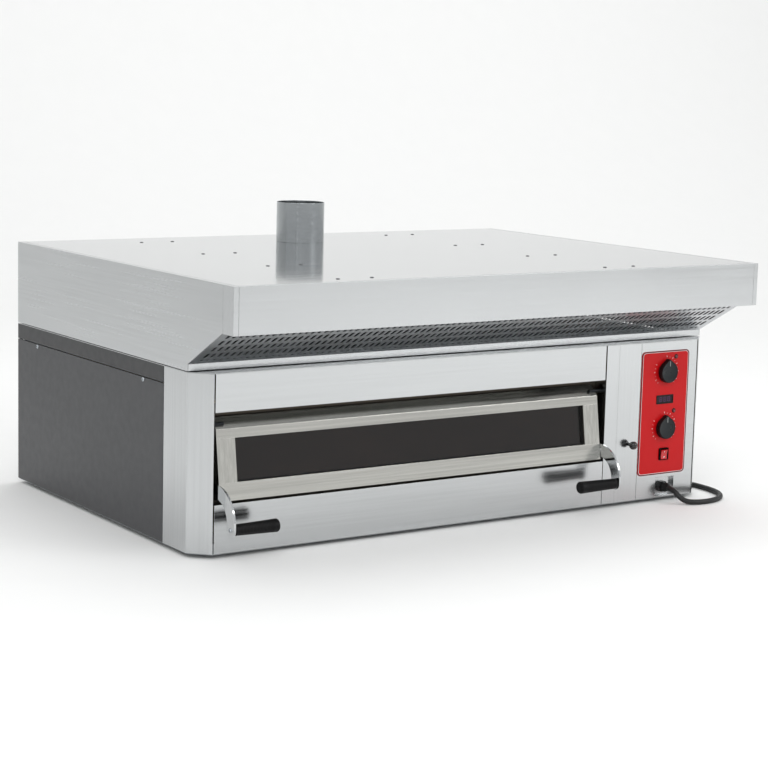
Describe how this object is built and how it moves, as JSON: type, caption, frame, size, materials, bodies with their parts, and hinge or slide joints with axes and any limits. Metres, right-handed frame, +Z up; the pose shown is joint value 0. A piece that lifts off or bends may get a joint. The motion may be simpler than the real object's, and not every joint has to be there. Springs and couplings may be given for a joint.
{
  "type": "electric pizza oven",
  "caption": "Counter-standing single-deck electric pizza oven with an up-and-over glazed door, a side control column and an extraction hood with a round chimney.",
  "frame": {"origin": "on the surface that the feet stand on, midway across the width and midway between the hood fascia and the rear panel", "axes": "+X to the control side, -Y is the front with the door, +Z up"},
  "size_m": [1.7806, 1.1476, 0.75],
  "materials": {
    "stainless_sheet": "polished and brushed stainless sheet",
    "painted_side": "dark grey stove enamel",
    "galvanised": "galvanised sheet",
    "chamber_steel": "aluminised steel, heat tinted",
    "mineral_wool": "mineral wool",
    "refractory": "refractory tile",
    "element_sheath": "heating element sheath",
    "gasket_braid": "glass fibre braid",
    "lamp_glass": "clear lamp cover",
    "door_glass": "dark toughened glass",
    "bright_steel": "polished steel",
    "grip_rubber": "ribbed phenolic grip",
    "black_plastic": "moulded black plastic",
    "dial_plastic": "dark grey moulded knob",
    "label_red": "red printed control label",
    "beacon_red": "red lamp lens",
    "display_lens": "tinted display window",
    "rocker_red": "red rocker",
    "terminal_plastic": "terminal block",
    "zinc_screw": "zinc plated fasteners",
    "rubber": "black rubber",
    "plug_red": "industrial plug"
  },
  "bodies": {
    "oven": {"base_tray": "galvanised", "feet": "rubber", "side_panel_left": "painted_side", "side_panel_right": "painted_side", "side_strips": "painted_side", "rear_panel": "galvanised", "corner_post_left": "stainless_sheet", "corner_post_right": "stainless_sheet", "upper_front_panel": "stainless_sheet", "lower_front_panel": "stainless_sheet", "column_cover": "stainless_sheet", "control_fascia": "stainless_sheet", "oven_cover": "galvanised", "casing_fasteners": "zinc_screw", "chamber_liner": "chamber_steel", "insulation": "mineral_wool", "hearth_stones": "refractory", "top_elements": "element_sheath", "bottom_elements": "element_sheath", "door_gasket": "gasket_braid", "chamber_lamp": "lamp_glass", "steam_duct": "galvanised", "hinge_brackets": "galvanised", "label_plate": "label_red", "thermostats": "black_plastic", "indicator_lamps": "beacon_red", "display_module": "display_lens", "rocker_frame": "black_plastic", "terminal_block": "terminal_plastic", "hood_top_plate": "stainless_sheet", "hood_side_left": "stainless_sheet", "hood_side_right": "stainless_sheet", "hood_fascia": "stainless_sheet", "fascia_caps": "stainless_sheet", "hood_grille": "stainless_sheet", "hood_lip": "stainless_sheet", "hood_rear_panel": "stainless_sheet", "hood_ribs": "galvanised", "chimney_pipe": "stainless_sheet", "cable_gland": "black_plastic", "cable_lead": "rubber", "cable_coil": "rubber", "cable_tail": "rubber", "plug": "plug_red"},
    "door": {"door_top_rail": "stainless_sheet", "door_bottom_rail": "stainless_sheet", "door_stiles": "stainless_sheet", "door_glass": "door_glass", "hinge_pins": "bright_steel", "door_arm_left": "bright_steel", "door_arm_right": "bright_steel", "door_grip_left": "grip_rubber", "door_grip_right": "grip_rubber", "grip_screws": "zinc_screw"},
    "damper": {"damper_plate": "galvanised", "damper_rod": "bright_steel", "damper_knob": "black_plastic"},
    "top_control": {"top_dial": "dial_plastic"},
    "bottom_control": {"bottom_dial": "dial_plastic"},
    "power_rocker": {"rocker_switch": "rocker_red"}
  },
  "joints": [
    {"name": "door_hinge", "type": "hinge", "parent": "oven", "child": "door", "pos_m": [-0.1545, -0.3905, 0.308], "axis": [-1, 0, 0], "range_deg": [0, 78]},
    {"name": "damper_pull", "type": "slide", "parent": "oven", "child": "damper", "axis": [0, -1, 0], "range_m": [0, 0.08]},
    {"name": "top_dial_turn", "type": "hinge", "parent": "oven", "child": "top_control", "pos_m": [0.62, -0.42, 0.347], "axis": [0, 1, 0], "range_deg": [0, 300]},
    {"name": "bottom_dial_turn", "type": "hinge", "parent": "oven", "child": "bottom_control", "pos_m": [0.62, -0.42, 0.198], "axis": [0, 1, 0], "range_deg": [0, 300]},
    {"name": "rocker_press", "type": "hinge", "parent": "oven", "child": "power_rocker", "pos_m": [0.622, -0.4116, 0.128], "axis": [-1, 0, 0], "range_deg": [0, 16]}
  ]
}
